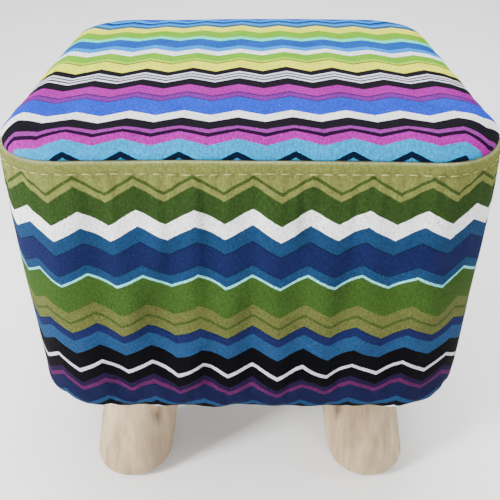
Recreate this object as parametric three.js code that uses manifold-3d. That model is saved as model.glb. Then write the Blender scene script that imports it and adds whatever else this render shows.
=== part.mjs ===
// Square footstool: a plywood carcass padded with foam, under a stitched fabric slipcover,
// on four stubby splayed wooden legs that screw in. Millimetres, +Z up, the front faces -Y.
// The origin is on the floor, under the middle of the seat.
import * as THREE from "three";
import { mergeVertices } from "three/addons/utils/BufferGeometryUtils.js";
import Module from "manifold-3d";

const wasm = await Module();
wasm.setup();

// ---- Driving dimensions -------------------------------------------------
const SEAT_WIDTH = 280; // across the cover, the same both ways
const SEAT_TOP = 284; // floor to the top of the seat
const LEG_TOP = 96; // floor to the top face of a leg
const CORNER_RADIUS = 47; // of the cover, seen from above
const UPPER_EDGE = 22; // radius of the cover's rounded upper edge
const LOWER_EDGE = 14; // radius of its lower edge
const GAP = 0.3; // left between pieces that touch

const CLOTH = 1.2; // slipcover fabric
const SEAM_DROP = 11.5; // the seam runs round the upper edge, this far below the seat's top
const HEM_OPENING = 216; // width of the opening under the base
const HEM_CORNER = 30;
const ELASTIC_WIDTH = 6;
const ELASTIC_THICKNESS = 0.8;

const SIDE_FOAM = 8;
const SEAT_FOAM = 25;
const WRAP = 3; // bent hardboard round the carcass
const BASE_BOARD = 15;
const TOP_BOARD = 9;
const POST = 28; // square pine posts
const POST_INSET = 14; // from the boards' edge to a post
const LINING = 0.6; // non-woven dust cover under the base
const LINING_INSET = 4; // from the base board's edge to the lining's

const LEG_SPACING = 150; // between leg centres at the base, both ways
const LEG_RADIUS_TOP = 28;
const LEG_RADIUS_FOOT = 28.6;
const LEG_LEAN = 0.17; // outward travel per unit of height, along X and along Y
const LEG_ROUND = 7; // round-over at the foot
const LEG_CHAMFER = 1; // at the leg's top
const PAD_RADIUS = 18;
const PAD_THICKNESS = 2;

const BOLT_RADIUS = 4; // M8 hanger bolt
const BOLT_LENGTH = 48;
const BOLT_POINT = 6; // tapered end in the wood
const BOLT_CHAMFER = 1;
const THREAD_ENGAGED = 10; // length of thread held by the insert nut: eight turns
const NUT_RADIUS = 6; // insert nut, screwed up into a blind hole in the base board
const NUT_LENGTH = 12;
const NUT_CHAMFER = 0.8;
const NUT_INSET = 0.5; // its lower face lies this far above the board's
const WASHER_RADIUS = 17;
const WASHER_THICKNESS = 1.3;

const SCREW_RADIUS = 2;
const SCREW_HEAD_RADIUS = 4;
const SCREW_HEAD = 2.4; // height of the countersunk head
const SCREW_LENGTH = 38;
const SCREW_POINT = 5;
const BLUNT_TIP = 0.4; // radius of a screw's or bolt's tip, as a share of its shank's
const HEAD_INSET = 0.5; // screw heads lie this far inside the boards' outer faces
const BACK_SLIT = 2; // butt joint of the wrap and the side foam, at the back
const PAST = 1; // how far a cutting shape reaches past the face it cuts

// ---- Heights that follow ------------------------------------------------
const washerBottom = LEG_TOP + GAP;
const liningBottom = washerBottom + WASHER_THICKNESS + GAP;
const baseBottom = liningBottom + LINING + GAP;
const baseTop = baseBottom + BASE_BOARD;
const elasticBottom = liningBottom - GAP - ELASTIC_THICKNESS;
const coverBottom = elasticBottom - GAP - CLOTH;
const foamTop = SEAT_TOP - CLOTH - GAP;
const foamBottom = foamTop - SEAT_FOAM;
const topBoardTop = foamBottom - GAP;
const topBoardBottom = topBoardTop - TOP_BOARD;
const seamHeight = SEAT_TOP - SEAM_DROP;
const legBottom = PAD_THICKNESS + GAP;
const nutBottom = baseBottom + NUT_INSET;
const nutTop = nutBottom + NUT_LENGTH;
const boltTip = nutBottom + THREAD_ENGAGED;
const boltFoot = boltTip - BOLT_LENGTH;

// ---- Half widths that follow, from the cover inwards --------------------
const coverHalf = SEAT_WIDTH / 2;
const foamHalf = coverHalf - CLOTH - GAP;
const wrapHalf = foamHalf - SIDE_FOAM - GAP;
const boardHalf = wrapHalf - WRAP - GAP;
const legCentre = LEG_SPACING / 2;
const postCentre = boardHalf - POST_INSET - POST / 2;
const liningHalf = boardHalf - LINING_INSET;
const innerCorner = (half) => CORNER_RADIUS - (coverHalf - half);

// ---- Materials ----------------------------------------------------------
const material = (colour, roughness, metalness = 0) =>
  new THREE.MeshStandardMaterial({ color: colour, roughness, metalness });
const printedCloth = material(0x647576, 0.85);
const foam = material(0xf1e7c8, 0.95);
const plywood = material(0xcfae7c, 0.7);
const pine = material(0xdcc08d, 0.7);
const hardboard = material(0x8a6242, 0.8);
const lining = material(0x1c1c1e, 0.9);
const elastic = material(0xf2f0ea, 0.8);
const legWood = material(0xcfc0a4, 0.6);
const zinc = material(0xb9bcc0, 0.35, 1);
const fibre = material(0x9a4a32, 0.8);
const felt = material(0x4b4038, 0.95);

// ---- Solids: booleans on three.js geometry ------------------------------
function toSolid(geometry) {
  const bare = geometry.index ? geometry.toNonIndexed() : geometry.clone();
  bare.deleteAttribute("normal");
  bare.deleteAttribute("uv");
  const merged = mergeVertices(bare, 1e-4);
  return new wasm.Manifold(
    new wasm.Mesh({
      numProp: 3,
      vertProperties: merged.attributes.position.array,
      triVerts: new Uint32Array(merged.index.array),
    }),
  );
}

function toGeometry(solid) {
  const { numProp, numVert, vertProperties, triVerts } = solid.getMesh();
  const positions = new Float32Array(numVert * 3);
  for (let i = 0; i < numVert; i++) {
    const start = i * numProp;
    positions.set(vertProperties.subarray(start, start + 3), i * 3);
  }
  const geometry = new THREE.BufferGeometry();
  geometry.setAttribute("position", new THREE.BufferAttribute(positions, 3));
  geometry.setIndex(new THREE.BufferAttribute(triVerts, 1));
  return geometry;
}

function box(width, depth, low, high, x = 0, y = 0) {
  return new THREE.BoxGeometry(width, depth, high - low).translate(x, y, (low + high) / 2);
}

// A vertical cylinder from low to high.
function rod(radius, low, high, x = 0, y = 0, sides = 12) {
  return new THREE.CylinderGeometry(radius, radius, high - low, sides)
    .rotateX(Math.PI / 2)
    .translate(x, y, (low + high) / 2);
}

// The part of a solid between two heights.
const between = (solid, low, high) =>
  solid.intersect(toSolid(box(2 * SEAT_WIDTH, 2 * SEAT_WIDTH, low, high)));

// ---- Outlines -----------------------------------------------------------
function roundedSquare(half, radius, path = new THREE.Shape()) {
  const c = half - radius;
  path.absarc(c, -c, radius, -Math.PI / 2, 0);
  path.absarc(c, c, radius, 0, Math.PI / 2);
  path.absarc(-c, c, radius, Math.PI / 2, Math.PI);
  path.absarc(-c, -c, radius, Math.PI, 1.5 * Math.PI);
  path.closePath();
  return path;
}

function extrude(shape, low, high, curveSegments = 5) {
  return new THREE.ExtrudeGeometry(shape, { depth: high - low, bevelEnabled: false, curveSegments })
    .translate(0, 0, low);
}

// A rounded square block whose upper and lower edges are rounded too, both by the same radius.
function evenPillow(half, low, high, edge) {
  return new THREE.ExtrudeGeometry(roundedSquare(half - edge, innerCorner(half) - edge), {
    depth: high - low - 2 * edge,
    bevelThickness: edge,
    bevelSize: edge,
    bevelSegments: 4,
    curveSegments: 6,
  }).translate(0, 0, low + edge);
}

// The same with a radius for each edge: the upper half of one block on the lower half of another.
function pillow(half, low, high, upperEdge, lowerEdge) {
  const middle = (low + high) / 2;
  const upper = toSolid(evenPillow(half, low, high, upperEdge));
  const lower = toSolid(evenPillow(half, low, high, lowerEdge));
  return between(upper, middle, high + PAST).add(between(lower, low - PAST, middle));
}

// A closed band of the given thickness, butt-jointed at the back.
function band(half, thickness, low, high) {
  const ring = roundedSquare(half, innerCorner(half));
  ring.holes.push(roundedSquare(half - thickness, innerCorner(half - thickness), new THREE.Path()));
  const slit = box(BACK_SLIT, thickness + 2 * PAST, low - PAST, high + PAST, 0, half - thickness / 2);
  return toGeometry(toSolid(extrude(ring, low, high)).subtract(toSolid(slit)));
}

// ---- Pieces -------------------------------------------------------------
const stool = new THREE.Group();

function add(name, geometry, finish, x = 0, y = 0) {
  const mesh = new THREE.Mesh(geometry, finish);
  mesh.name = name;
  mesh.position.set(x, y, 0);
  stool.add(mesh);
}

const legCorners = [
  ["front_left", -1, -1],
  ["front_right", 1, -1],
  ["back_left", -1, 1],
  ["back_right", 1, 1],
];

// Both boards have their holes cut where the insert nuts and the post screws go.
function board(low, high, holes) {
  let solid = toSolid(extrude(roundedSquare(boardHalf, innerCorner(boardHalf)), low, high));
  for (const hole of holes) solid = solid.subtract(toSolid(hole));
  return toGeometry(solid);
}

// A countersunk wood screw that points down from z = 0. The same profile, grown by GAP and carried on
// past the head, cuts its hole.
function screw(grow = 0) {
  const past = grow * 4;
  const profile = [
    new THREE.Vector2(0, -SCREW_LENGTH - grow),
    new THREE.Vector2(SCREW_RADIUS * BLUNT_TIP + grow, -SCREW_LENGTH - grow),
    new THREE.Vector2(SCREW_RADIUS + grow, -SCREW_LENGTH + SCREW_POINT),
    new THREE.Vector2(SCREW_RADIUS + grow, -SCREW_HEAD - grow),
    new THREE.Vector2(SCREW_HEAD_RADIUS + grow, 0),
    new THREE.Vector2(SCREW_HEAD_RADIUS + grow, past),
    new THREE.Vector2(0, past),
  ];
  const points = grow ? profile : [...profile.slice(0, 5), profile[6]];
  return new THREE.LatheGeometry(points, 10).rotateX(Math.PI / 2);
}

const topScrewHeight = topBoardTop - HEAD_INSET;
const baseScrewHeight = baseBottom + HEAD_INSET;
const downwards = (x, y, grow) => screw(grow).translate(x, y, topScrewHeight);
const upwards = (x, y, grow) => screw(grow).rotateX(Math.PI).translate(x, y, baseScrewHeight);

function carcass() {
  const posts = legCorners.map(([name, sx, sy]) => [name, sx * postCentre, sy * postCentre]);
  const nutHoles = legCorners.map(([, sx, sy]) =>
    rod(NUT_RADIUS + GAP, baseBottom - PAST, nutTop + GAP, sx * legCentre, sy * legCentre),
  );
  const baseScrewHoles = posts.map(([, x, y]) => upwards(x, y, GAP));
  const topScrewHoles = posts.map(([, x, y]) => downwards(x, y, GAP));
  add("base_board", board(baseBottom, baseTop, [...nutHoles, ...baseScrewHoles]), plywood);
  add("top_board", board(topBoardBottom, topBoardTop, topScrewHoles), plywood);
  for (const [name, x, y] of posts) {
    const post = toSolid(box(POST, POST, baseTop + GAP, topBoardBottom - GAP, x, y))
      .subtract(toSolid(downwards(x, y, GAP)))
      .subtract(toSolid(upwards(x, y, GAP)));
    add("post_" + name, toGeometry(post), pine);
    add("top_screw_" + name, downwards(x, y), zinc);
    add("base_screw_" + name, upwards(x, y), zinc);
  }
  add("carcass_wrap", band(wrapHalf, WRAP, baseBottom, topBoardTop), hardboard);
}

function padding() {
  const block = pillow(foamHalf, coverBottom, foamTop, UPPER_EDGE - CLOTH - GAP, LOWER_EDGE - CLOTH - GAP);
  add("seat_foam", toGeometry(between(block, foamBottom, foamTop + PAST)), foam);
  add("side_foam", band(foamHalf, SIDE_FOAM, coverBottom + LOWER_EDGE, foamBottom - GAP), foam);
}

function slipcover() {
  const outside = pillow(coverHalf, coverBottom, SEAT_TOP, UPPER_EDGE, LOWER_EDGE);
  const inside = pillow(
    coverHalf - CLOTH,
    coverBottom + CLOTH,
    SEAT_TOP - CLOTH,
    UPPER_EDGE - CLOTH,
    LOWER_EDGE - CLOTH,
  );
  const hemHole = roundedSquare(HEM_OPENING / 2, HEM_CORNER);
  const opening = toSolid(extrude(hemHole, coverBottom - PAST, coverBottom + CLOTH + PAST));
  const shell = outside.subtract(inside).subtract(opening);
  add("cover_top_panel", toGeometry(between(shell, seamHeight + GAP / 2, SEAT_TOP + PAST)), printedCloth);
  add("cover_side_band", toGeometry(between(shell, 0, seamHeight - GAP / 2)), printedCloth);

  const hem = roundedSquare(HEM_OPENING / 2 + ELASTIC_WIDTH, HEM_CORNER + ELASTIC_WIDTH);
  hem.holes.push(roundedSquare(HEM_OPENING / 2, HEM_CORNER, new THREE.Path()));
  add("hem_elastic", extrude(hem, elasticBottom, elasticBottom + ELASTIC_THICKNESS), elastic);

  const sheet = roundedSquare(liningHalf, innerCorner(liningHalf));
  for (const [, sx, sy] of legCorners) {
    const hole = new THREE.Path();
    hole.absarc(sx * legCentre, sy * legCentre, NUT_RADIUS, 0, 2 * Math.PI);
    sheet.holes.push(hole);
  }
  add("underside_lining", extrude(sheet, liningBottom, liningBottom + LINING), lining);
}

// The leg leans outwards, but its top, its foot and every section between stay level and round.
function legGeometry(sx, sy) {
  const height = LEG_TOP - legBottom;
  const profile = new THREE.Path();
  profile.moveTo(0, 0);
  profile.lineTo(LEG_RADIUS_FOOT - LEG_ROUND, 0);
  profile.absarc(LEG_RADIUS_FOOT - LEG_ROUND, LEG_ROUND, LEG_ROUND, -Math.PI / 2, 0);
  profile.lineTo(LEG_RADIUS_TOP, height - LEG_CHAMFER);
  profile.lineTo(LEG_RADIUS_TOP - LEG_CHAMFER, height);
  profile.lineTo(0, height);
  const lean = new THREE.Matrix4().set(
    1, 0, -sx * LEG_LEAN, sx * LEG_LEAN * height,
    0, 1, -sy * LEG_LEAN, sy * LEG_LEAN * height,
    0, 0, 1, legBottom,
    0, 0, 0, 1,
  );
  const turned = new THREE.LatheGeometry(profile.getPoints(4), 24).rotateX(Math.PI / 2).applyMatrix4(lean);
  const bore = rod(BOLT_RADIUS + GAP, boltFoot - GAP, LEG_TOP + PAST);
  return toGeometry(toSolid(turned).subtract(toSolid(bore)));
}

function boltGeometry() {
  const profile = [
    new THREE.Vector2(0, boltFoot),
    new THREE.Vector2(BOLT_RADIUS * BLUNT_TIP, boltFoot),
    new THREE.Vector2(BOLT_RADIUS, boltFoot + BOLT_POINT),
    new THREE.Vector2(BOLT_RADIUS, boltTip - BOLT_CHAMFER),
    new THREE.Vector2(BOLT_RADIUS - BOLT_CHAMFER, boltTip),
    new THREE.Vector2(0, boltTip),
  ];
  return new THREE.LatheGeometry(profile, 12).rotateX(Math.PI / 2);
}

// A plain-walled insert nut. Its hole in the board is blind, so the space inside the carcass stays closed.
function insertNutGeometry() {
  const bore = BOLT_RADIUS + GAP;
  const profile = [
    new THREE.Vector2(bore, nutBottom),
    new THREE.Vector2(NUT_RADIUS, nutBottom),
    new THREE.Vector2(NUT_RADIUS, nutTop - NUT_CHAMFER),
    new THREE.Vector2(NUT_RADIUS - NUT_CHAMFER, nutTop),
    new THREE.Vector2(bore, nutTop),
    new THREE.Vector2(bore, nutBottom),
  ];
  return new THREE.LatheGeometry(profile, 12).rotateX(Math.PI / 2);
}

function washerGeometry() {
  const ring = new THREE.Shape().absarc(0, 0, WASHER_RADIUS, 0, 2 * Math.PI);
  ring.holes.push(new THREE.Path().absarc(0, 0, BOLT_RADIUS + 2 * GAP, 0, 2 * Math.PI));
  return extrude(ring, washerBottom, washerBottom + WASHER_THICKNESS, 10);
}

function legs() {
  const footShift = LEG_LEAN * (LEG_TOP - legBottom);
  for (const [name, sx, sy] of legCorners) {
    const x = sx * legCentre;
    const y = sy * legCentre;
    const pad = rod(PAD_RADIUS, 0, PAD_THICKNESS, sx * footShift, sy * footShift, 20);
    add("leg_" + name, legGeometry(sx, sy), legWood, x, y);
    add("hanger_bolt_" + name, boltGeometry(), zinc, x, y);
    add("insert_nut_" + name, insertNutGeometry(), zinc, x, y);
    add("leg_washer_" + name, washerGeometry(), fibre, x, y);
    add("foot_pad_" + name, pad, felt, x, y);
  }
}

carcass();
padding();
slipcover();
legs();

export default stool;
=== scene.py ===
import math

import bpy
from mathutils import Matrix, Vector, noise


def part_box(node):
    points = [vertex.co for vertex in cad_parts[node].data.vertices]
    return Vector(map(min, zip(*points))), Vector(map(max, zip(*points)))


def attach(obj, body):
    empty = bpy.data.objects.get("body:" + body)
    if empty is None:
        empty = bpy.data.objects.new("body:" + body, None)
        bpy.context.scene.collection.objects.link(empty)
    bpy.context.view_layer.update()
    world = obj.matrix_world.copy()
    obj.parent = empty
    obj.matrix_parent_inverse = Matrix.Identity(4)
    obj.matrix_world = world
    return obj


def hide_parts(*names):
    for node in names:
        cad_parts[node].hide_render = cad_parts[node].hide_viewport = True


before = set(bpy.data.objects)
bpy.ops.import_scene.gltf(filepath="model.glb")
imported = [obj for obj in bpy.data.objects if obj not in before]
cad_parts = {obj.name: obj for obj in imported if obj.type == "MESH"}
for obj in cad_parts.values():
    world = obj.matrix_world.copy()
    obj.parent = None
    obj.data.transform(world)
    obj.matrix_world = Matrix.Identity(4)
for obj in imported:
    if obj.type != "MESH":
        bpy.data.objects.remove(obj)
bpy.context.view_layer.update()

# A square footstool in a printed slipcover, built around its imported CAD. Metres, +Z up, front faces -Y.

# ---- Sizes taken from the frame -----------------------------------------------------------------
TOP_LOW, TOP_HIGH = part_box("cover_top_panel")
SIDE_LOW, SIDE_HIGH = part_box("cover_side_band")
HALF = SIDE_HIGH[0]
SEAT_TOP = TOP_HIGH[2]
SEAM = (SIDE_HIGH[2] + TOP_LOW[2]) / 2
HEM = SIDE_LOW[2]
CORNERS = [("front_left", -1, -1), ("front_right", 1, -1), ("back_left", -1, 1), ("back_right", 1, 1)]

# ---- Sizes of the cover, as its design has them -------------------------------------------------
CORNER = 0.047  # radius of its corners, seen from above
UPPER_EDGE = 0.022
LOWER_EDGE = 0.014
HEM_INSET = 0.032  # from the widest outline to the hem underneath
CLOTH = 0.0011
CROWN = 0.0022  # the seat's middle above its edges
STITCH_DROP = 0.0074  # topstitch below the seam, along the cloth
STITCH_PITCH = 0.0072
STITCH_LENGTH = 0.0050
THREAD_RADIUS = 0.00028
SEAM_SAG = 0.0016  # how far the seam is pulled down at each corner
SAG_REACH = 0.09  # the sag has died away this far down the cloth
SINK = 0.0034  # the padding has sunk this far at the back of the seat
DRAWN_IN = 0.0013  # the side cloth is set in by this, chosen to match the photo's outline, not measured

STRAIGHT = HALF - CORNER
ARC = math.pi / 2 * CORNER
ROUND = 4 * (2 * STRAIGHT) + 4 * ARC  # once round the cover


# ---- Camera -------------------------------------------------------------------------------------
CAMERA_BACK = 0.297  # in front of the cover
CAMERA_UP = 0.125  # above the seat
CAMERA_TILT = 34.5  # degrees below level


def add_camera():
    data = bpy.data.cameras.new("camera")
    data.sensor_width = 36
    data.lens = 46.7
    data.shift_y = 0.05
    camera = bpy.data.objects.new("camera", data)
    camera.location = (0, -HALF - CAMERA_BACK, SEAT_TOP + CAMERA_UP)
    camera.rotation_euler = (math.radians(90 - CAMERA_TILT), 0, 0)
    bpy.context.collection.objects.link(camera)
    bpy.context.scene.camera = camera


add_camera()


# ---- Node helpers -------------------------------------------------------------------------------
class Nodes:
    """Builds one material's node tree, with short calls for what most of them need."""

    def __init__(self, name):
        self.material = bpy.data.materials.new(name)
        self.material.use_nodes = True
        self.tree = self.material.node_tree
        self.shader = self.tree.nodes["Principled BSDF"]

    def node(self, kind, **settings):
        made = self.tree.nodes.new(kind)
        for key, value in settings.items():
            setattr(made, key, value)
        return made

    def put(self, socket, value):
        if isinstance(value, bpy.types.NodeSocket):
            self.tree.links.new(value, socket)
        else:
            socket.default_value = value

    def math(self, operation, a, b=0.0):
        made = self.node("ShaderNodeMath", operation=operation)
        self.put(made.inputs[0], a)
        self.put(made.inputs[1], b)
        return made.outputs[0]

    def noise(self, vector, scale, detail=3.0, rough=0.5):
        made = self.node("ShaderNodeTexNoise")
        self.put(made.inputs["Vector"], vector)
        made.inputs["Scale"].default_value = scale
        made.inputs["Detail"].default_value = detail
        made.inputs["Roughness"].default_value = rough
        return made.outputs["Fac"]

    def scaled(self, vector, x, y, z):
        made = self.node("ShaderNodeMapping")
        self.put(made.inputs["Vector"], vector)
        made.inputs["Scale"].default_value = (x, y, z)
        return made.outputs[0]

    def ramp(self, factor, stops, interpolation="LINEAR"):
        made = self.node("ShaderNodeValToRGB")
        self.put(made.inputs[0], factor)
        ramp = made.color_ramp
        ramp.interpolation = interpolation
        for index, (place, colour) in enumerate(stops):
            stop = ramp.elements[index] if index < 2 else ramp.elements.new(place)
            stop.position = place
            stop.color = (*colour, 1)
        return made.outputs[0]

    def span(self, value, low, high, new_low, new_high):
        made = self.node("ShaderNodeMapRange")
        self.put(made.inputs["Value"], value)
        for key, number in zip(("From Min", "From Max", "To Min", "To Max"), (low, high, new_low, new_high)):
            made.inputs[key].default_value = number
        return made.outputs[0]

    def mix(self, a, b, factor, blend="MIX"):
        made = self.node("ShaderNodeMix", data_type="RGBA", blend_type=blend)
        self.put(made.inputs["Factor"], factor)
        self.put(made.inputs[6], a)
        self.put(made.inputs[7], b)
        return made.outputs[2]

    def even_tone(self, value):
        """A grey as bright as the value, to multiply a colour by."""
        made = self.node("ShaderNodeCombineColor")
        for socket in made.inputs[:3]:
            self.put(socket, value)
        return made.outputs[0]

    def place(self):
        return self.node("ShaderNodeTexCoord").outputs["Object"]

    def finish(self, colour, roughness, height=None, depth=0.001, **constants):
        self.put(self.shader.inputs["Base Color"], colour)
        self.put(self.shader.inputs["Roughness"], roughness)
        for key, value in constants.items():
            self.shader.inputs[key.replace("_", " ")].default_value = value
        if height is not None:
            bump = self.node("ShaderNodeBump")
            bump.inputs["Distance"].default_value = depth
            self.put(bump.inputs["Height"], height)
            self.put(self.shader.inputs["Normal"], bump.outputs[0])
        return self.material


def grey(value):
    return (value, value, value)


def srgb(red, green, blue):
    """A colour as a paint chart gives it, 0 to 255, turned to linear light."""
    paint = (red, green, blue)
    return tuple(((c / 255 + 0.055) / 1.055) ** 2.4 if c > 10 else c / 255 / 12.92 for c in paint)


# ---- The print ----------------------------------------------------------------------------------
BLACK = srgb(4, 4, 8)
WHITE = srgb(250, 251, 252)
KHAKI = srgb(114, 119, 63)
# painted shade: the same khaki darkened for the lower stripes, where the cloth falls into shade
KHAKI_IN_SHADE = srgb(88, 93, 48)
OLIVE = srgb(60, 75, 34)
GREEN = srgb(44, 66, 28)
FERN = srgb(53, 79, 30)
TEAL = srgb(26, 58, 94)
SEA = srgb(30, 64, 102)
NAVY = srgb(23, 30, 72)
LINE = srgb(12, 28, 52)
MINT = srgb(122, 214, 212)
LAVENDER = srgb(206, 198, 216)
PURPLE = srgb(30, 16, 50)
MAGENTA = srgb(78, 26, 72)
CYAN = srgb(2, 146, 204)
INK = srgb(6, 18, 40)
LAGOON = srgb(34, 132, 178)
ROSE = srgb(156, 22, 148)
PLUM = srgb(31, 7, 40)
MAUVE = srgb(137, 46, 140)
COAL = srgb(21, 17, 27)
CORNFLOWER = srgb(28, 66, 206)
VIOLET = srgb(80, 33, 98)
ORCHID = srgb(114, 34, 146)
PEARL = srgb(228, 230, 243)
SLATE = srgb(66, 67, 82)
STRAW = srgb(232, 238, 52)
REED = srgb(98, 112, 42)
LIME = srgb(166, 208, 52)
LEAF = srgb(112, 177, 36)
SKY = srgb(10, 142, 232)
BLUE = srgb(24, 84, 175)
ICE = srgb(66, 236, 190)
SAND = srgb(242, 238, 118)
DEEP = srgb(19, 22, 56)
SHADE = srgb(56, 92, 105)
# painted highlight: a paler khaki where the cloth folds over at the seam and turns up to the light
SEAM_HIGHLIGHT = srgb(186, 190, 140)  # the paler line where the cloth folds over at the seam
KNOT_STAIN = srgb(80, 54, 34)

# Stripes of the side band, from the seam down: width in millimetres and colour. The lower khaki stripes take
# a darker khaki as painted shade.
SIDE_STRIPES = [
    (12.6, KHAKI), (2.0, OLIVE), (3.6, KHAKI), (0.5, OLIVE), (12.9, GREEN), (9.6, WHITE), (9.5, TEAL),
    (0.7, LINE), (13.9, NAVY), (0.5, LINE), (6.0, TEAL), (1.8, MINT), (19.8, FERN), (7.2, KHAKI_IN_SHADE),
    (2.0, OLIVE), (6.7, KHAKI_IN_SHADE), (0.6, LINE), (5.8, NAVY), (10.4, SEA), (12.5, BLACK), (2.9, LAVENDER),
    (8.6, BLACK), (4.0, PURPLE), (3.2, MAGENTA), (12.2, DEEP), (4.0, TEAL), (6.0, BLACK), (9.0, WHITE),
    (12.0, NAVY), (30.0, GREEN),
]

# Stripes of the top panel, from the front seam to the back one.
TOP_STRIPES = [
    (3.4, LAGOON), (3.8, INK), (9.1, CYAN), (5.4, ROSE), (2.7, PLUM), (3.2, MAUVE), (10.1, COAL),
    (9.4, WHITE), (19.7, CORNFLOWER), (1.3, VIOLET), (5.2, ORCHID), (1.9, VIOLET), (11.7, ROSE),
    (10.6, COAL), (2.8, PEARL), (2.4, SLATE), (2.4, PEARL), (2.2, SLATE), (3.0, PEARL), (8.0, COAL),
    (15.8, STRAW), (1.8, REED), (4.0, LIME), (12.3, LEAF), (9.5, WHITE), (9.2, SKY), (18.6, BLUE),
    (8.5, ICE), (19.3, LEAF), (13.3, STRAW), (4.8, SAND), (7.7, SHADE), (7.7, SKY), (5.0, BLUE),
    (3.5, INK), (8.0, SKY), (6.0, CORNFLOWER), (1.5, INK), (30.0, LEAF),
]

WEAVE_PITCH = 0.0011
SIDE_REPEATS = 34
SIDE_PEAK = 0.0016
TOP_PERIOD = 0.0292
TOP_PEAK = -0.0065
TOP_START = 6.0  # millimetres of the print hidden in the front seam
# How far the zig-zag swings, peak to trough, in millimetres: (share of the way across the print, swing).
SIDE_SWING = [
    (0.0, 10.2), (0.07, 9.4), (0.14, 8.8), (0.25, 8.2), (0.4, 8.2), (0.52, 7.8), (0.58, 8.2), (0.64, 10.2),
    (0.69, 8.6), (1.0, 8.4),
]
TOP_SWING = [
    (0.0, 8.6), (0.022, 8.2), (0.052, 4.4), (0.09, 4.6), (0.13, 6.8), (0.3, 7.4), (0.4, 9.0), (0.48, 7.8),
    (0.62, 7.6), (0.76, 9.6), (1.0, 9.0),
]
RAMP_STRIPES = 7  # a colour ramp holds 256 steps, so the print is shared between short ones


def striped(n, across, stripes):
    """The colour of the stripe that each place across the print falls in."""
    colour, edge = None, 0.0
    for first in range(0, len(stripes), RAMP_STRIPES):
        group = stripes[first:first + RAMP_STRIPES]
        length = sum(width for width, _ in group) / 1000
        stops, place = [], 0.0
        for width, ink in group:
            stops.append((place / 1000 / length, ink))
            place += width
        share = n.math("DIVIDE", n.math("SUBTRACT", across, edge), length)
        inks = n.ramp(share, stops, "CONSTANT")
        colour = inks if colour is None else n.mix(colour, inks, n.math("GREATER_THAN", across, edge))
        edge += length
    return colour


def printed_cloth(name, stripes, swing, period, peak, direction, start=0.0, lit_seam_edge=False):
    """Zig-zag stripes in the print's own coordinates, which each vertex keeps in its attribute.

    Peaks lie at peak and every period from it, and point along the print where direction is 1."""
    n = Nodes(name)
    attribute = n.node("ShaderNodeAttribute", attribute_name="print")
    split = n.node("ShaderNodeSeparateXYZ")
    n.put(split.inputs[0], attribute.outputs["Vector"])
    along, across = split.outputs[0], split.outputs[1]
    length = sum(width for width, _ in stripes) / 1000

    wander = n.noise(attribute.outputs["Vector"], 24, 2)
    shifted = n.math("ADD", along, n.span(wander, 0, 1, -0.0008, 0.0008))
    folded = n.math("PINGPONG", n.math("ADD", shifted, 100 * period - peak), period / 2)
    wave = n.math("SUBTRACT", 0.5, n.math("DIVIDE", folded, period / 2))
    rough_edge = n.span(n.noise(attribute.outputs["Vector"], 900, 2), 0, 1, -0.0004, 0.0004)
    level = n.math("ADD", across, n.math("ADD", rough_edge, start / 1000))
    moved = level
    for _ in range(2):  # the second pass reads the swing at the stripe itself, which keeps its edges straight
        swings = n.ramp(n.math("DIVIDE", moved, length), [(place, grey(mm / 20)) for place, mm in swing])
        reach = n.math("MULTIPLY", n.math("MULTIPLY", wave, swings), -0.020 * direction)
        moved = n.math("ADD", level, reach)
    ink = striped(n, moved, stripes)

    thread = 2 * math.pi / WEAVE_PITCH
    warp = n.math("SINE", n.math("MULTIPLY", along, thread))
    weft = n.math("SINE", n.math("MULTIPLY", across, thread))
    weave = n.math("MULTIPLY", warp, weft)
    slub = n.noise(n.scaled(attribute.outputs["Vector"], 1250, 280, 1), 1, 3, 0.6)
    cross_slub = n.noise(n.scaled(attribute.outputs["Vector"], 300, 1500, 1), 1, 3, 0.6)
    heather = n.noise(attribute.outputs["Vector"], 720, 3, 0.7)
    cloudy = n.noise(attribute.outputs["Vector"], 45, 4)
    shade = n.math("ADD", n.span(weave, -1, 1, -0.10, 0.10), n.span(slub, 0.3, 0.7, 0.74, 1.24))
    shade = n.math("MULTIPLY", shade, n.span(heather, 0.3, 0.7, 0.72, 1.26))
    shade = n.math("MULTIPLY", shade, n.span(cross_slub, 0.3, 0.7, 0.88, 1.12))
    shade = n.math("MULTIPLY", shade, n.span(cloudy, 0.3, 0.7, 0.90, 1.08))
    # painted highlight: the ink is paled towards the seam, where the folded-over cloth faces the light from
    # above
    if lit_seam_edge:
        seam_highlight = n.math("MAXIMUM", n.span(across, 0.0006, 0.0022, 0.8, 0.0), 0.0)
        ink = n.mix(ink, (*SEAM_HIGHLIGHT, 1), seam_highlight)
    colour = n.mix(ink, n.even_tone(shade), 1.0, "MULTIPLY")
    height = n.math("ADD", n.math("MULTIPLY", weave, 0.5), n.math("ADD", slub, cross_slub))
    roughness = n.span(slub, 0.3, 0.7, 0.78, 0.92)
    return n.finish(colour, roughness, height, 0.0005, Specular_IOR_Level=0.04)


def plain_cloth(name, colour, pitch, depth, spread=0.1):
    """Thread, elastic, felt, foam and non-woven cloth: one dye, with fibres and a soft nap."""
    n = Nodes(name)
    place = n.place()
    fibres = n.noise(place, 1 / pitch, 4, 0.65)
    blotches = n.noise(place, 60, 3)
    nap = n.span(blotches, 0.3, 0.7, 0.94, 1.05)
    shade = n.math("MULTIPLY", n.span(fibres, 0.3, 0.7, 1 - spread, 1 + spread), nap)
    dyed = n.mix((*colour, 1), n.even_tone(shade), 1.0, "MULTIPLY")
    return n.finish(dyed, n.span(fibres, 0.3, 0.7, 0.8, 0.95), fibres, depth)


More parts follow.
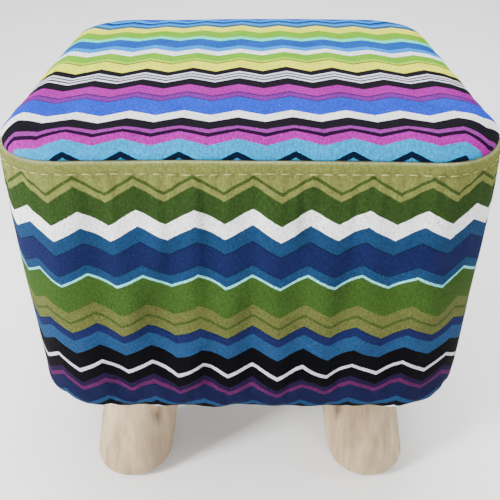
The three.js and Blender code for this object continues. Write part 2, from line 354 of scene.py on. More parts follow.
def wood(name, light, dark, ring, knots=(), roughness=0.62):
    """Straight grain along Z, with fine pores, slow colour drift and any knots it is given."""
    n = Nodes(name)
    place = n.place()
    grain = n.noise(n.scaled(place, ring, ring, ring * 0.09), 1, 5, 0.6)
    pores = n.noise(n.scaled(place, 1500, 1500, 60), 1, 2, 0.6)
    drift = n.noise(place, 22, 2)
    mixed = n.math("ADD", n.math("MULTIPLY", grain, 0.7), n.math("MULTIPLY", drift, 0.3))
    between = tuple((a + b) / 2 for a, b in zip(light, dark))
    colour = n.ramp(mixed, [(0.34, dark), (0.5, between), (0.64, light)])
    for centre, size in knots:
        offset = n.node("ShaderNodeVectorMath", operation="SUBTRACT")
        n.put(offset.inputs[0], place)
        offset.inputs[1].default_value = centre
        flat = n.scaled(offset.outputs[0], 1, 1, 0.36)
        away = n.node("ShaderNodeVectorMath", operation="LENGTH")
        n.put(away.inputs[0], flat)
        ragged = n.math("ADD", away.outputs["Value"], n.span(grain, 0.3, 0.7, -size * 0.5, size * 0.5))
        stain = n.span(ragged, size * 0.2, size * 1.5, 0.85, 0.0)
        colour = n.mix(colour, (*KNOT_STAIN, 1), n.math("MAXIMUM", stain, 0.0))
    shade = n.span(pores, 0.35, 0.65, 0.93, 1.04)
    colour = n.mix(colour, n.even_tone(shade), 1.0, "MULTIPLY")
    height = n.math("ADD", n.math("MULTIPLY", grain, 0.6), n.math("MULTIPLY", pores, 0.4))
    return n.finish(colour, n.span(grain, 0.3, 0.7, roughness - 0.08, roughness + 0.1), height, 0.0003)


def zinc_plate(name):
    n = Nodes(name)
    place = n.place()
    streaks = n.noise(n.scaled(place, 900, 900, 120), 1, 3)
    spots = n.noise(place, 240, 3)
    colour = n.ramp(spots, [(0.3, srgb(160, 163, 168)), (0.7, srgb(204, 206, 210))])
    return n.finish(colour, n.span(streaks, 0.3, 0.7, 0.26, 0.46), streaks, 0.00008, Metallic=1.0)


PRINT_SIDE = printed_cloth(
    "print_side", SIDE_STRIPES, SIDE_SWING, ROUND / SIDE_REPEATS, SIDE_PEAK, -1, lit_seam_edge=True
)
PRINT_TOP = printed_cloth("print_top", TOP_STRIPES, TOP_SWING, TOP_PERIOD, TOP_PEAK, 1, TOP_START)
THREAD = plain_cloth("stitch_thread", srgb(168, 164, 106), 0.0004, 0.0001)
FOAM = plain_cloth("foam_cells", srgb(238, 226, 190), 0.0012, 0.0008, 0.12)
LINING = plain_cloth("black_lining", srgb(30, 30, 33), 0.0007, 0.0002, 0.25)
ELASTIC = plain_cloth("knit_elastic", srgb(238, 235, 226), 0.0006, 0.0003)
FELT = plain_cloth("pressed_felt", srgb(70, 60, 52), 0.0005, 0.0006, 0.25)
FIBRE = plain_cloth("red_fibre", srgb(152, 76, 54), 0.0005, 0.0001)
ZINC = zinc_plate("zinc_plate")
PLYWOOD = wood("plywood", srgb(214, 184, 138), srgb(176, 138, 92), 60)
PINE = wood("pine", srgb(226, 198, 146), srgb(196, 156, 98), 70)
HARDBOARD = wood("hardboard", srgb(142, 102, 68), srgb(110, 76, 48), 300)


# ---- Mesh helpers -------------------------------------------------------------------------------
def new_piece(name, points, faces, material, body="seat", nodes=(), prints=None, smooth=True):
    mesh = bpy.data.meshes.new(name)
    mesh.from_pydata(points, [], faces)
    mesh.validate()
    if prints is not None:
        mesh.attributes.new("print", "FLOAT_VECTOR", "POINT")
        for target, value in zip(mesh.attributes["print"].data, prints):
            target.vector = (*value, 0)
    mesh.polygons.foreach_set("use_smooth", [smooth] * len(mesh.polygons))
    mesh.materials.append(material)
    piece = bpy.data.objects.new(name, mesh)
    bpy.context.collection.objects.link(piece)
    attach(piece, body)
    if nodes:
        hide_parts(*nodes)
    return piece


def grid_faces(rows, columns, closed_round=False, closed_along=False, start=0):
    """Quads between rows of points, each row holding the same number of columns."""
    faces = []
    for row in range(rows if closed_along else rows - 1):
        after = (row + 1) % rows
        for column in range(columns if closed_round else columns - 1):
            beside = (column + 1) % columns
            here, there = start + row * columns, start + after * columns
            faces.append((here + column, here + beside, there + beside, there + column))
    return faces


def lathe(profile, sides, place=(0, 0, 0), lean=(0, 0), start=0, wobble=None):
    """A turned closed solid. profile is (radius, height) from the axis to the axis, or a closed ring."""
    ring = profile[0][0] > 0
    points, faces = [], []
    body = profile if ring else profile[1:-1]
    for radius, height in body:
        for side in range(sides):
            angle = 2 * math.pi * side / sides
            r = radius + (wobble(angle, height) if wobble else 0)
            x = place[0] + r * math.cos(angle) - lean[0] * height
            y = place[1] + r * math.sin(angle) - lean[1] * height
            points.append((x, y, place[2] + height))
    faces = grid_faces(len(body), sides, True, ring, start)
    if not ring:
        for height, row, turn in ((profile[0][1], 0, 1), (profile[-1][1], len(body) - 1, -1)):
            points.append((place[0] - lean[0] * height, place[1] - lean[1] * height, place[2] + height))
            tip = start + len(points) - 1
            for side in range(sides):
                pair = (start + row * sides + side, start + row * sides + (side + 1) % sides)
                faces.append((tip, *(pair[::-1] if turn > 0 else pair)))
    return points, faces


# ---- The cover's surface ------------------------------------------------------------------------
def outline(t):
    """A point of the widest outline and the way out from it, t metres round from the front's middle."""
    side = 1 if t >= 0 else -1
    rest = abs(t)
    if rest <= STRAIGHT:
        x, y, out_x, out_y = rest, -HALF, 0, -1
    elif rest <= STRAIGHT + ARC:
        angle = (rest - STRAIGHT) / CORNER
        out_x, out_y = math.sin(angle), -math.cos(angle)
        x, y = STRAIGHT + CORNER * out_x, -STRAIGHT + CORNER * out_y
    elif rest <= 3 * STRAIGHT + ARC:
        x, y, out_x, out_y = HALF, rest - 2 * STRAIGHT - ARC, 1, 0
    elif rest <= 3 * STRAIGHT + 2 * ARC:
        angle = (rest - 3 * STRAIGHT - ARC) / CORNER
        out_x, out_y = math.cos(angle), math.sin(angle)
        x, y = STRAIGHT + CORNER * out_x, STRAIGHT + CORNER * out_y
    else:
        x, y, out_x, out_y = ROUND / 2 - rest, HALF, 0, 1
    return side * x, y, side * out_x, out_y


SEAM_ANGLE = math.asin((SEAM - (SEAT_TOP - UPPER_EDGE)) / UPPER_EDGE)
EDGE_RUN = SEAM_ANGLE * UPPER_EDGE  # from the seam down round the edge to the upright wall
WALL = (SEAT_TOP - UPPER_EDGE) - (HEM + LOWER_EDGE)
TURN_IN = math.pi / 2 * LOWER_EDGE
UNDER = HEM_INSET - LOWER_EDGE
SIDE_RUN = EDGE_RUN + WALL + TURN_IN + UNDER


def side_profile(v):
    """Inset, height and the way out (level, up), v metres down the cloth from the seam."""
    if v < EDGE_RUN:
        angle = SEAM_ANGLE - v / UPPER_EDGE
        return (
            UPPER_EDGE * (1 - math.cos(angle)),
            SEAT_TOP - UPPER_EDGE + UPPER_EDGE * math.sin(angle),
            math.cos(angle),
            math.sin(angle),
        )
    v -= EDGE_RUN
    if v < WALL:
        return 0, SEAT_TOP - UPPER_EDGE - v, 1, 0
    v -= WALL
    if v < TURN_IN:
        angle = v / LOWER_EDGE
        return (
            LOWER_EDGE * (1 - math.cos(angle)),
            HEM + LOWER_EDGE - LOWER_EDGE * math.sin(angle),
            math.cos(angle),
            -math.sin(angle),
        )
    return LOWER_EDGE + (v - TURN_IN), HEM, 0, -1


def bell(x, width):
    return math.exp(-((x / width) ** 2))


def around(t, size):
    """t as a point on a circle, so that noise read there joins up once round."""
    angle = 2 * math.pi * t / ROUND
    return math.cos(angle) * ROUND / (2 * math.pi * size), math.sin(angle) * ROUND / (2 * math.pi * size)


def corner_pull(t):
    """1 at the middle of a corner, falling away along the sides."""
    rest = abs(t)
    nearest = min(abs(rest - STRAIGHT - ARC / 2), abs(rest - 3 * STRAIGHT - ARC * 1.5))
    return bell(nearest, 0.042)


def seam_wander(t):
    """The seam isn't quite level: it dips and rises by under a millimetre, and sags at the corners."""
    cx, cy = around(t, 0.06)
    return noise.noise(Vector((cx, cy, 40))) * 0.0012 - SEAM_SAG * corner_pull(t)


def side_form(t, v, out=0.0):
    """A point of the side cloth, standing out from its even form by out."""
    x, y, out_x, out_y = outline(t)
    shift = -seam_wander(t) * max(0, 1 - v / SAG_REACH)
    inset, height, level, up = side_profile(v + shift)
    away = level * out - inset
    return x + out_x * away, y + out_y * away, height + up * out


# ---- The side cloth, settled over its foam -------------------------------------------------------
SETTLE_COLUMNS, SETTLE_ROWS = 260, 48
SETTLE_FRAMES = 30
SETTLE_GAP = 0.0022  # from the even cloth in to the form that it settles over
LEAST_OUT, MOST_OUT = -0.0015, 0.0045  # how much of the settled height is kept


def settle_side():
    """How far each point of a coarse, slightly loose side cloth stands out once it has settled.

    It is held at its seam and hem and filled out from inside, and gravity pulls its slack down."""
    points = []
    for row in range(SETTLE_ROWS + 1):
        v = SIDE_RUN * row / SETTLE_ROWS
        for column in range(SETTLE_COLUMNS):
            t = ROUND * (column / SETTLE_COLUMNS - 0.5)
            cx, cy = around(t, 0.03)
            points.append(side_form(t, v, noise.noise(Vector((cx, cy, v * 20))) * 0.0006))
    faces = [face[::-1] for face in grid_faces(SETTLE_ROWS + 1, SETTLE_COLUMNS, True)]
    cloth = plain_object("settling_cloth", points, faces)
    held = cloth.vertex_groups.new(name="held")
    held.add(list(range(SETTLE_COLUMNS)), 1, "REPLACE")
    held.add([SETTLE_ROWS * SETTLE_COLUMNS + i for i in range(SETTLE_COLUMNS)], 1, "REPLACE")
    inner = [side_form(ROUND * (c / SETTLE_COLUMNS - 0.5), SIDE_RUN * r / SETTLE_ROWS, -SETTLE_GAP)
             for r in range(SETTLE_ROWS + 1) for c in range(SETTLE_COLUMNS)]
    foam = plain_object("settling_foam", inner, faces)
    foam.modifiers.new("collision", "COLLISION")
    foam.collision.thickness_outer = 0.0006

    modifier = cloth.modifiers.new("cloth", "CLOTH")
    settings = modifier.settings
    settings.quality = 6
    settings.mass = 0.25
    settings.tension_stiffness = settings.compression_stiffness = 20
    settings.shear_stiffness = 8
    settings.bending_stiffness = 4.5
    settings.shrink_min = -0.024
    settings.use_pressure = True
    settings.uniform_pressure_force = 0.7
    settings.effector_weights.gravity = 0.4
    settings.vertex_group_mass = "held"
    modifier.collision_settings.distance_min = 0.0008
    scene = bpy.context.scene
    for step in range(1, SETTLE_FRAMES + 1):
        scene.frame_set(step)
    graph = bpy.context.evaluated_depsgraph_get()
    settled = [vertex.co.copy() for vertex in cloth.evaluated_get(graph).to_mesh().vertices]
    scene.frame_set(1)
    out = []
    for index, place in enumerate(settled):
        t = ROUND * ((index % SETTLE_COLUMNS) / SETTLE_COLUMNS - 0.5)
        v = SIDE_RUN * (index // SETTLE_COLUMNS) / SETTLE_ROWS
        even, lifted = Vector(side_form(t, v)), Vector(side_form(t, v, 0.001))
        out.append((place - even).dot((lifted - even).normalized()))
    for piece in (cloth, foam):
        bpy.data.objects.remove(piece)
    return out


def plain_object(name, points, faces):
    mesh = bpy.data.meshes.new(name)
    mesh.from_pydata(points, [], faces)
    piece = bpy.data.objects.new(name, mesh)
    bpy.context.collection.objects.link(piece)
    return piece


SETTLED = settle_side()


# Soft folds: metres round from the front's middle and down from the seam, the lean
# (sideways for each metre down), half length, half width and height.
FOLDS = [
    (-0.066, 0.088, -0.42, 0.052, 0.0095, 0.0028),
    (-0.026, 0.112, -0.56, 0.058, 0.0110, 0.0030),
    (-0.104, 0.060, -0.30, 0.040, 0.0100, 0.0019),
    (0.062, 0.124, -1.30, 0.034, 0.0120, 0.0023),
    (0.030, 0.056, 0.40, 0.034, 0.0100, 0.0018),
    (0.098, 0.078, 0.55, 0.044, 0.0105, 0.0022),
    (0.215, 0.095, 0.45, 0.055, 0.0110, 0.0027),
    (0.300, 0.120, -0.60, 0.050, 0.0110, 0.0024),
    (-0.205, 0.100, 0.50, 0.055, 0.0105, 0.0027),
    (-0.290, 0.080, -0.45, 0.050, 0.0110, 0.0023),
    (0.440, 0.110, -0.40, 0.055, 0.0110, 0.0026),
    (-0.440, 0.090, 0.55, 0.050, 0.0110, 0.0024),
    (0.505, 0.075, 0.35, 0.045, 0.0100, 0.0020),
]


def fold_height(t, v):
    height = 0.0
    for middle, down, lean, length, width, peak in FOLDS:
        below = v - down
        if abs(below) > 2.5 * length:
            continue
        gap = (t - middle + ROUND / 2) % ROUND - ROUND / 2  # the shorter way round
        beside = (gap - lean * below) / math.hypot(1, lean)
        height += peak * bell(beside, width) * bell(below, length)
    return height


def settled_out(t, v):
    """The settled cloth's height above its even form, between the coarse points."""
    column = (t / ROUND + 0.5) * SETTLE_COLUMNS
    row = min(v / SIDE_RUN, 0.9999) * SETTLE_ROWS
    c, r = math.floor(column), math.floor(row)
    value = 0.0
    for dr, row_share in ((0, 1 - (row - r)), (1, row - r)):
        for dc, column_share in ((0, 1 - (column - c)), (1, column - c)):
            value += row_share * column_share * SETTLED[(r + dr) * SETTLE_COLUMNS + (c + dc) % SETTLE_COLUMNS]
    return max(LEAST_OUT, min(MOST_OUT, value))


GATHER = 0.0017  # height of the gathers over the hem
DEEPEST = 0.0030  # the cloth goes no further in than this
CARCASS_EDGE = 0.0029  # and by this much less at the hem, where the carcass's edge is close
ELASTIC_ZONE, ELASTIC_BLEND = 0.014, 0.005  # from the hem's edge up, where pleats cover the elastic
PLEAT, PLEAT_LEAST = 0.0024, 0.0002


def side_relief(t, v):
    """How far the side cloth stands out from its even form, seams and gathers included."""
    cx, cy = around(t, 0.022)
    ripples = noise.noise(Vector((cx, cy, 5 + v * 11))) * 0.0006 * min(1, v / 0.03)
    seam_roll = -0.0013 * bell(v, 0.0010) + 0.0010 * bell(v - 0.0032, 0.0020)
    pull = 0.5 + 0.5 * math.cos(2 * math.pi * t / STITCH_PITCH)
    stitch_dip = -(0.0006 + 0.0003 * pull) * bell(v - stitch_line(t), 0.0013)
    cx, cy = around(t, 0.009)
    pucker = noise.noise(Vector((cx, cy, 9))) * 0.0008 * bell(v - STITCH_DROP - 0.003, 0.007)
    hem_start = EDGE_RUN + WALL
    hem = min(1, max(0, (v - hem_start + 0.012) / 0.03))
    cx, cy = around(t, 0.010)
    gathers = noise.noise(Vector((cx, cy, 20 + v * 3))) * GATHER * hem**1.5
    loose = (settled_out(t, v) + fold_height(t, v) - DRAWN_IN) * (1 - 0.65 * hem)
    relief = loose + ripples + seam_roll + stitch_dip + pucker + gathers
    relief = max(relief, -DEEPEST + CARCASS_EDGE * hem)
    under_elastic = min(1, max(0, (v - SIDE_RUN + ELASTIC_ZONE) / ELASTIC_BLEND))
    pleats = abs(noise.noise(Vector((cx, cy, 50)))) * PLEAT + PLEAT_LEAST
    return relief * (1 - under_elastic) + pleats * under_elastic


def stitch_line(t):
    """The stitching wanders a little as it goes round."""
    cx, cy = around(t, 0.05)
    return STITCH_DROP + noise.noise(Vector((cx, cy, 33))) * 0.0011


# How the cover's tension drags the print off its straight lines: metres round and down, half width, half
# height, and how far up.
PULLS = [
    (-0.088, 0.150, 0.055, 0.070, 0.0046),
    (-0.088, 0.042, 0.040, 0.026, -0.0012),
    (0.016, 0.165, 0.022, 0.040, -0.0018),
    (0.097, 0.165, 0.040, 0.045, 0.0042),
]


def print_drift(t, v):
    return sum(up * bell(t - middle, wide) * bell(v - down, high) for middle, down, wide, high, up in PULLS)


def side_point(t, v, lift=0.0):
    return side_form(t, v, side_relief(t, v) + lift)


# ---- Cover --------------------------------------------------------------------------------------
COLUMNS = 900


def side_rows():
    fine = [i * 0.0006 for i in range(22)]
    rows = list(fine)
    while rows[-1] < EDGE_RUN + WALL - 0.004:
        rows.append(rows[-1] + 0.0034)
    while rows[-1] < SIDE_RUN - 0.0014:
        rows.append(rows[-1] + 0.0014)
    return rows + [SIDE_RUN]


def make_cover_side():
    points, prints = [], []
    rows = side_rows()
    for v in rows:
        for column in range(COLUMNS + 1):
            t = ROUND * (column / COLUMNS - 0.5)
            points.append(side_point(t, v))
            prints.append((t, v + print_drift(t, v)))
    faces = [face[::-1] for face in grid_faces(len(rows), COLUMNS + 1)]
    piece = new_piece(
        "cover_side", points, faces, PRINT_SIDE, nodes=["cover_side_band"], prints=prints
    )
    thicken(piece)
    return piece


def thicken(piece, thickness=CLOTH):
    solid = piece.modifiers.new("thickness", "SOLIDIFY")
    solid.thickness = thickness
    solid.offset = -1


def sunk(y):
    """How far the padding has sunk, from nothing at the seat's middle to its most at the back."""
    share = min(1, max(0, y / (HALF - UPPER_EDGE)))
    return -SINK * share * share


def top_height(x, y):
    """The crowned upper surface, apart from its rounded edge."""
    r = min(1, math.hypot(x, y) / HALF)
    dimple = noise.noise(Vector((x * 14, y * 14, 60))) * 0.0009
    return (CROWN * (1 - r * r) - CROWN * 0.5) + dimple + sunk(y)


def make_cover_top():
    """Rings from the seam inwards: over the rounded edge, then flat, then closing to the middle."""
    points, prints = [], []
    columns = COLUMNS // 2
    arc = (math.pi / 2 - SEAM_ANGLE) * UPPER_EDGE
    steps = 18
    rings = 0
    for step in range(steps + 1):
        for column in range(columns):
            t = ROUND * (column / columns - 0.5)
            x, y, out_x, out_y = outline(t)
            start = SEAM_ANGLE + seam_wander(t) / UPPER_EDGE
            angle = start + (math.pi / 2 - start) * step / steps
            inset = UPPER_EDGE * (1 - math.cos(angle))
            run = (math.pi / 2 - angle) * UPPER_EDGE
            cx, cy = around(t, 0.016)
            from_seam = (angle - start) * UPPER_EDGE
            tuck = -0.0014 * bell(from_seam, 0.0016)
            pucker = noise.noise(Vector((cx, cy, 70))) * 0.0007 * bell(from_seam - 0.004, 0.008)
            out = tuck + pucker
            px = x - out_x * inset + out_x * math.cos(angle) * out
            py = y - out_y * inset + out_y * math.cos(angle) * out
            rise = top_height(px, py) * (step / steps) ** 0.6
            pz = SEAT_TOP - UPPER_EDGE + UPPER_EDGE * math.sin(angle) + math.sin(angle) * out + rise
            points.append((px, py, pz))
            reach = run - UPPER_EDGE
            prints.append((x + out_x * reach, y + out_y * reach + HALF + arc - UPPER_EDGE))
        rings += 1
    inner = 40
    for ring in range(1, inner):
        share = ring / inner
        for column in range(columns):
            t = ROUND * (column / columns - 0.5)
            x, y, out_x, out_y = outline(t)
            edge_x, edge_y = x - out_x * UPPER_EDGE, y - out_y * UPPER_EDGE
            px, py = edge_x * (1 - share), edge_y * (1 - share)
            points.append((px, py, SEAT_TOP + top_height(px, py)))
            prints.append((px, py + HALF + arc - UPPER_EDGE))
        rings += 1
    faces = grid_faces(rings, columns, True)
    points.append((0, 0, SEAT_TOP + top_height(0, 0)))
    prints.append((0, HALF + arc - UPPER_EDGE))
    middle = len(points) - 1
    last = (rings - 1) * columns
    for column in range(columns):
        faces.append((last + column, last + (column + 1) % columns, middle))
    piece = new_piece(
        "cover_top", points, faces, PRINT_TOP, nodes=["cover_top_panel"], prints=prints
    )
    thicken(piece)
    return piece


def sweep(path, ups, radii, sides):
    """A round-ended tube of one closed body along a path, with its thickness at each point."""
    points = []
    for index, (here, up, radius) in enumerate(zip(path, ups, radii)):
        before, after = path[max(0, index - 1)], path[min(len(path) - 1, index + 1)]
        along = (after - before).normalized()
        across = along.cross(up).normalized()
        lifted = across.cross(along).normalized()
        for side in range(sides):
            angle = 2 * math.pi * side / sides
            points.append(tuple(here + across * math.cos(angle) * radius + lifted * math.sin(angle) * radius))
    return points


def make_topstitch():
    points, faces = [], []
    count = round(ROUND / STITCH_PITCH)
    pitch = ROUND / count
    sides, steps = 6, 8
    for stitch in range(count):
        middle = (stitch + 0.5) * pitch - ROUND / 2
        path, ups, radii = [], [], []
        for step in range(steps + 1):
            s = step / steps * 2 - 1
            t = middle + s * STITCH_LENGTH / 2
            dip = 0.00045 - 0.0010 * s**4
            path.append(Vector(side_point(t, stitch_line(t) + 0.0004 * s * s, dip)))
            _, _, out_x, out_y = outline(t)
            ups.append(Vector((out_x, out_y, 0.1)))
            radii.append(THREAD_RADIUS * math.sqrt(max(0.1, 1 - s**6)))
        start = len(points)
        points += sweep(path, ups, radii, sides)
        faces += grid_faces(steps + 1, sides, True, start=start)
        faces.append(tuple(start + i for i in range(sides)))
        faces.append(tuple(start + steps * sides + i for i in reversed(range(sides))))
    return new_piece("cover_topstitch", points, faces, THREAD)


# ---- Padding ------------------------------------------------------------------------------------
def outline_ring(inset, height, columns):
    ring = []
    for column in range(columns):
        x, y, out_x, out_y = outline(ROUND * (column / columns - 0.5))
        ring.append((x - out_x * inset, y - out_y * inset, height))
    return ring


def shrunk_ring(inset, height, columns, share):
    return [(x * share, y * share, z) for x, y, z in outline_ring(inset, height, columns)]


def make_seat_foam():
    """A crowned slab of foam: rounded over the top, square cut below."""
    low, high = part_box("seat_foam")
    gap = HALF - high[0] + 0.0022
    radius = UPPER_EDGE - gap
    columns, points = 160, []
    rings = []
    bottom = low[2] + 0.0004
    for share in (0.3, 0.6, 0.9):
        rings.append(shrunk_ring(gap + 0.012, bottom, columns, share))
    rings.append(outline_ring(gap + 0.0016, bottom, columns))
    rings.append(outline_ring(gap, bottom + 0.0014, columns))
    centre = high[2] - 0.0012 - radius
    for step in range(9):
        angle = math.pi / 2 * step / 8
        inset = gap + radius * (1 - math.cos(angle))
        rings.append(outline_ring(inset, centre + radius * math.sin(angle), columns))
    for share in (0.85, 0.65, 0.45, 0.25):
        level = centre + radius + CROWN * 0.3 * (1 - share)
        rings.append(shrunk_ring(gap + radius, level, columns, share))
    for ring in rings:
        points += [(x, y, z + sunk(y) * max(0, (z - bottom) / (high[2] - bottom))) for x, y, z in ring]
    faces = grid_faces(len(rings), columns, True)
    faces.append(tuple(reversed(range(columns))))
    faces.append(tuple((len(rings) - 1) * columns + i for i in range(columns)))
    piece = new_piece("seat_foam_pad", points, faces, FOAM, nodes=["seat_foam"])
    return piece


def make_side_foam():
    """A sheet of foam wrapped round the carcass, its two ends meeting at the back."""
    low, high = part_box("side_foam")
    outer, inner = HALF - high[0] + 0.0022, HALF - high[0] + 0.0078
    columns, soft = 300, 0.0012
    section = [
        (outer, low[2] + soft), (outer, high[2] - soft), (outer + soft, high[2]), (inner - soft, high[2]),
        (inner, high[2] - soft), (inner, low[2] + soft), (inner - soft, low[2]), (outer + soft, low[2]),
    ]
    points = []
    for column in range(columns + 1):
        t = (ROUND / 2 - 0.001) * (2 * column / columns - 1)
        x, y, out_x, out_y = outline(t)
        for inset, height in section:
            points.append((x - out_x * inset, y - out_y * inset, height))
    size = len(section)
    faces = grid_faces(columns + 1, size, True)
    faces.append(tuple(reversed(range(size))))
    faces.append(tuple(columns * size + i for i in range(size)))
    piece = new_piece("side_foam_wrap", points, faces, FOAM, nodes=["side_foam"])
    return piece


# ---- Underside ----------------------------------------------------------------------------------
def make_elastic():
    low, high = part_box("hem_elastic")
    inner, outer = HALF - HEM_INSET + 0.0002, high[0]
    columns, points = 480, []
    for column in range(columns):
        t = ROUND * (column / columns - 0.5)
        x, y, out_x, out_y = outline(t)
        rib = 0.00012 * math.sin(2 * math.pi * column / 4)
        above = high[2] + rib
        for reach, height in ((inner, low[2]), (outer, low[2]), (outer, above), (inner, above)):
            inset = HALF - reach
            points.append((x - out_x * inset, y - out_y * inset, height))
    faces = [face[::-1] for face in grid_faces(columns, 4, True, True)]
    return new_piece("elastic_band", points, faces, ELASTIC, nodes=["hem_elastic"])


def make_lining():
    """Non-woven cloth stapled under the base, with a hole at each leg, sagging a little between."""
    _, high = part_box("underside_lining")
    half, top = high[0], high[2]
    cells = 96
    hole = 0.0062
    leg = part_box("leg_washer_front_right")
    leg_at = (leg[0][0] + leg[1][0]) / 2
    points, index = [], {}
    for row in range(cells + 1):
        for column in range(cells + 1):
            x, y = half * (2 * column / cells - 1), half * (2 * row / cells - 1)
            near = min(math.hypot(abs(x) - leg_at, abs(y) - leg_at) / 0.03, 1)
            sag = 0.0011 * near * (1 - (x / half) ** 4) * (1 - (y / half) ** 4)
            crease = noise.noise(Vector((x * 26, y * 26, 80))) * 0.0004 * near
            index[row, column] = len(points)
            points.append((x, y, top - 0.0003 - sag * 0.5 + crease * 0.4))
    faces = []
    for row in range(cells):
        for column in range(cells):
            x, y = half * (2 * (column + 0.5) / cells - 1), half * (2 * (row + 0.5) / cells - 1)
            in_corner = math.hypot(max(0, abs(x) - half + 0.03), max(0, abs(y) - half + 0.03)) > 0.03
            if in_corner or math.hypot(abs(x) - leg_at, abs(y) - leg_at) < hole:
                continue
            faces.append((
                index[row, column], index[row, column + 1],
                index[row + 1, column + 1], index[row + 1, column],
            ))
    used = sorted({i for face in faces for i in face})
    renumbered = {old: new for new, old in enumerate(used)}
    points = [points[i] for i in used]
    faces = [tuple(renumbered[i] for i in face) for face in faces]
    piece = new_piece("lining_sheet", points, faces, LINING, nodes=["underside_lining"])
    thicken(piece, 0.0004)
    return piece


def make_staples():
    """Wire staples that hold the lining, between the legs on each side."""
    low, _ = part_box("underside_lining")
    wire, crown = 0.00035, 0.010
    points, faces = [], []
    for side in range(4):
        turn = math.pi / 2 * side
        for place in (-0.036, 0, 0.036):
            start = len(points)
            for end in (-crown / 2, crown / 2):
                for dx, dz in ((-wire, -wire), (wire, -wire), (wire, wire), (-wire, wire)):
                    x, y = 0.100 + dx, place + end
                    spun = (x * math.cos(turn) - y * math.sin(turn), x * math.sin(turn) + y * math.cos(turn))
                    points.append((*spun, low[2] - 0.0004 + dz))
            faces += [tuple(start + i for i in face) for face in (
                (3, 2, 1, 0), (4, 5, 6, 7), (0, 1, 5, 4), (1, 2, 6, 5), (2, 3, 7, 6), (3, 0, 4, 7),
            )]
    return new_piece("lining_staples", points, faces, ZINC, smooth=False)


# ---- Legs and their hardware --------------------------------------------------------------------
LEG_LEAN = 0.17
LEG_TOP_RADIUS = 0.028
LEG_FOOT_RADIUS = 0.0286
KNOTS = {
    "front_left": [((-0.068, -0.106, 0.058), 0.0034)],
    "front_right": [((0.0635, -0.103, 0.061), 0.0030)],
    "back_left": [((-0.090, 0.111, 0.046), 0.0040)],
    "back_right": [],
}


def axis_of(corner):
    low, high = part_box("leg_washer_" + corner)
    return (low[0] + high[0]) / 2, (low[1] + high[1]) / 2


def leg_profile(height, foot_round=0.0075, chamfer=0.0012):
    profile = [(0, 0)]
    for step in range(9):
        angle = math.pi / 2 * (step / 8 - 1)
        profile.append((
            LEG_FOOT_RADIUS - foot_round + foot_round * math.cos(angle),
            foot_round + foot_round * math.sin(angle),
        ))
    for step in range(1, 13):
        share = step / 12
        radius = LEG_FOOT_RADIUS + (LEG_TOP_RADIUS - LEG_FOOT_RADIUS) * share
        profile.append((radius, foot_round + (height - chamfer - foot_round) * share))
    profile.append((LEG_TOP_RADIUS - chamfer, height))
    profile.append((0, height))
    return profile


def make_leg(corner, sx, sy):
    low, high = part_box("leg_" + corner)
    x, y = axis_of(corner)
    height = high[2] - low[2]
    shift = LEG_LEAN * height

    def wobble(angle, up):
        fade = max(0.0, 1 - up / height)
        place = Vector((math.cos(angle), math.sin(angle), sx * 3 + sy * 7 + up * 18))
        return fade * 0.0007 * noise.noise(place)

    points, faces = lathe(
        leg_profile(height), 72, (x + sx * shift, y + sy * shift, low[2]),
        (sx * LEG_LEAN, sy * LEG_LEAN), wobble=wobble,
    )
    material = wood(
        "leg_wood_" + corner, srgb(184, 162, 128), srgb(130, 107, 77), 130, KNOTS[corner]
    )
    return new_piece(
        "wood_leg_" + corner, points, faces, material, corner + "_leg", ["leg_" + corner]
    )


def make_bolt(corner):
    """A hanger bolt: machine thread at the top for the insert nut, wood thread below, in the leg."""
    low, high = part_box("hanger_bolt_" + corner)
    x, y = axis_of(corner)
    radius, pitch, sides, steps = 0.00395, 0.00125, 24, 8
    rows = int((high[2] - low[2]) / pitch * steps)
    points = []
    for row in range(rows + 1):
        height = low[2] + (high[2] - low[2]) * row / rows
        for side in range(sides):
            turn = side / sides
            wave = abs(((height / pitch - turn) % 1) * 2 - 1)
            point = min(1, (height - low[2]) / 0.006, (high[2] - height) / 0.001 + 0.72)
            r = (radius - 0.00068 * (1 - wave)) * max(0.3, point)
            angle = 2 * math.pi * turn
            points.append((x + r * math.cos(angle), y + r * math.sin(angle), height))
    faces = grid_faces(rows + 1, sides, True)
    faces.append(tuple(reversed(range(sides))))
    faces.append(tuple(rows * sides + i for i in range(sides)))
    return new_piece(
        "threaded_bolt_" + corner, points, faces, ZINC, corner + "_leg",
        ["hanger_bolt_" + corner],
    )


def ring_profile(inner, outer, low, high, soft):
    return [
        (inner, low + soft), (inner + soft, low), (outer - soft, low), (outer, low + soft),
        (outer, high - soft), (outer - soft, high), (inner + soft, high), (inner, high - soft),
    ]


def make_washer(corner):
    low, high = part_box("leg_washer_" + corner)
    x, y = axis_of(corner)
    profile = ring_profile(0.0047, high[0] - x, low[2], high[2], 0.0002)
    points, faces = lathe(profile, 64, (x, y, 0))
    return new_piece(
        "fibre_washer_" + corner, points, faces, FIBRE, corner + "_washer", ["leg_washer_" + corner]
    )


def make_pad(corner):
    low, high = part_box("foot_pad_" + corner)
    x, y = (low[0] + high[0]) / 2, (low[1] + high[1]) / 2
    radius, soft = (high[0] - low[0]) / 2, 0.0004
    profile = [
        (0, low[2]), (radius - soft, low[2]), (radius, low[2] + soft),
        (radius, high[2] - soft), (radius - soft, high[2]), (0, high[2]),
    ]
    points, faces = lathe(profile, 64, (x, y, 0))
    return new_piece(
        "felt_disc_" + corner, points, faces, FELT, corner + "_leg", ["foot_pad_" + corner]
    )


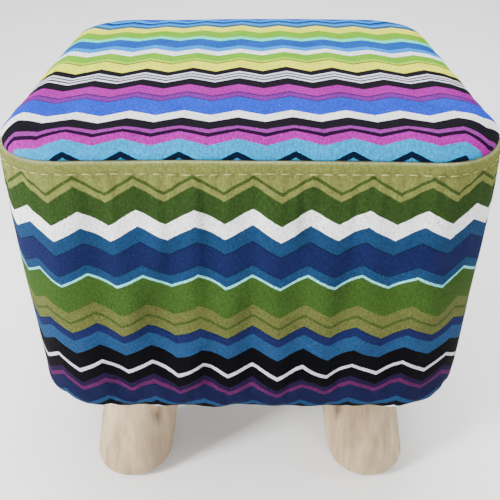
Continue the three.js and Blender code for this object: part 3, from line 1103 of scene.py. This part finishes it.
def make_insert_nut(corner):
    """A screw-in insert: a bored sleeve with coarse ridges outside that grip the board."""
    low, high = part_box("insert_nut_" + corner)
    x, y = axis_of(corner)
    bore, crest, groove, ridges = 0.0043, high[0] - x, 0.0007, 7
    pitch = (high[2] - low[2] - 0.0012) / ridges
    profile = [(bore, low[2]), (crest - groove, low[2])]
    for ridge in range(ridges):
        start = low[2] + 0.0003 + pitch * ridge
        profile.append((crest, start + pitch * 0.4))
        profile.append((crest, start + pitch * 0.5))
        profile.append((crest - groove, start + pitch * 0.95))
    profile += [(crest - groove - 0.0003, high[2]), (bore, high[2])]
    points, faces = lathe(profile, 64, (x, y, 0))
    return new_piece(
        "insert_sleeve_" + corner, points, faces, ZINC, nodes=["insert_nut_" + corner]
    )


# ---- Carried-over CAD nodes ---------------------------------------------------------------------
def paint(node, material):
    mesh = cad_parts[node].data
    mesh.materials.clear()
    mesh.materials.append(material)


def paint_carcass():
    paint("base_board", PLYWOOD)
    paint("top_board", PLYWOOD)
    paint("carcass_wrap", HARDBOARD)
    for corner, _, _ in CORNERS:
        paint("post_" + corner, PINE)
        paint("top_screw_" + corner, ZINC)
        paint("base_screw_" + corner, ZINC)


# ---- Stage --------------------------------------------------------------------------------------
def add_stage():
    reach = 4
    corners = [(-reach, -reach, 0), (reach, -reach, 0), (reach, reach, 0), (-reach, reach, 0)]
    floor = plain_object("floor", corners, [(0, 1, 2, 3)])
    n = Nodes("pale_floor")
    tint = n.ramp(n.noise(n.place(), 3, 2), [(0.3, srgb(246, 246, 246)), (0.7, srgb(252, 252, 252))])
    floor.data.materials.append(n.finish(tint, 0.9))


def add_light(name, place, size, power, aim=(0, 0, 0.15)):
    data = bpy.data.lights.new(name, "AREA")
    data.shape = "SQUARE"
    data.size = size
    data.energy = power
    light = bpy.data.objects.new(name, data)
    light.location = place
    light.rotation_euler = (Vector(aim) - Vector(place)).to_track_quat("-Z", "Y").to_euler()
    bpy.context.collection.objects.link(light)


def add_lights():
    world = bpy.data.worlds.new("soft_white")
    world.use_nodes = True
    world.node_tree.nodes["Background"].inputs[0].default_value = (1, 1, 1, 1)
    world.node_tree.nodes["Background"].inputs[1].default_value = 0.8
    bpy.context.scene.world = world
    add_light("key", (-1.05, -0.62, 0.62), 0.3, 36)
    add_light("overhead", (0.1, 0.15, 1.6), 0.8, 22)
    add_light("front_fill", (0.4, -1.3, 0.8), 0.8, 6)
    add_light("right_side", (1.3, -0.2, 0.7), 0.6, 9)
    add_light("floor_wash", (0, 1.9, 1.7), 1.4, 30, (0, 1.5, 0))


# ---- Build --------------------------------------------------------------------------------------
top = make_cover_top()
side = make_cover_side()
stitches = make_topstitch()
seat_pad = make_seat_foam()
side_pad = make_side_foam()
make_elastic()
lining = make_lining()
make_staples()
for name, sx, sy in CORNERS:
    make_leg(name, sx, sy)
    make_bolt(name)
    make_washer(name)
    make_pad(name)
    make_insert_nut(name)
paint_carcass()

add_stage()
add_lights()
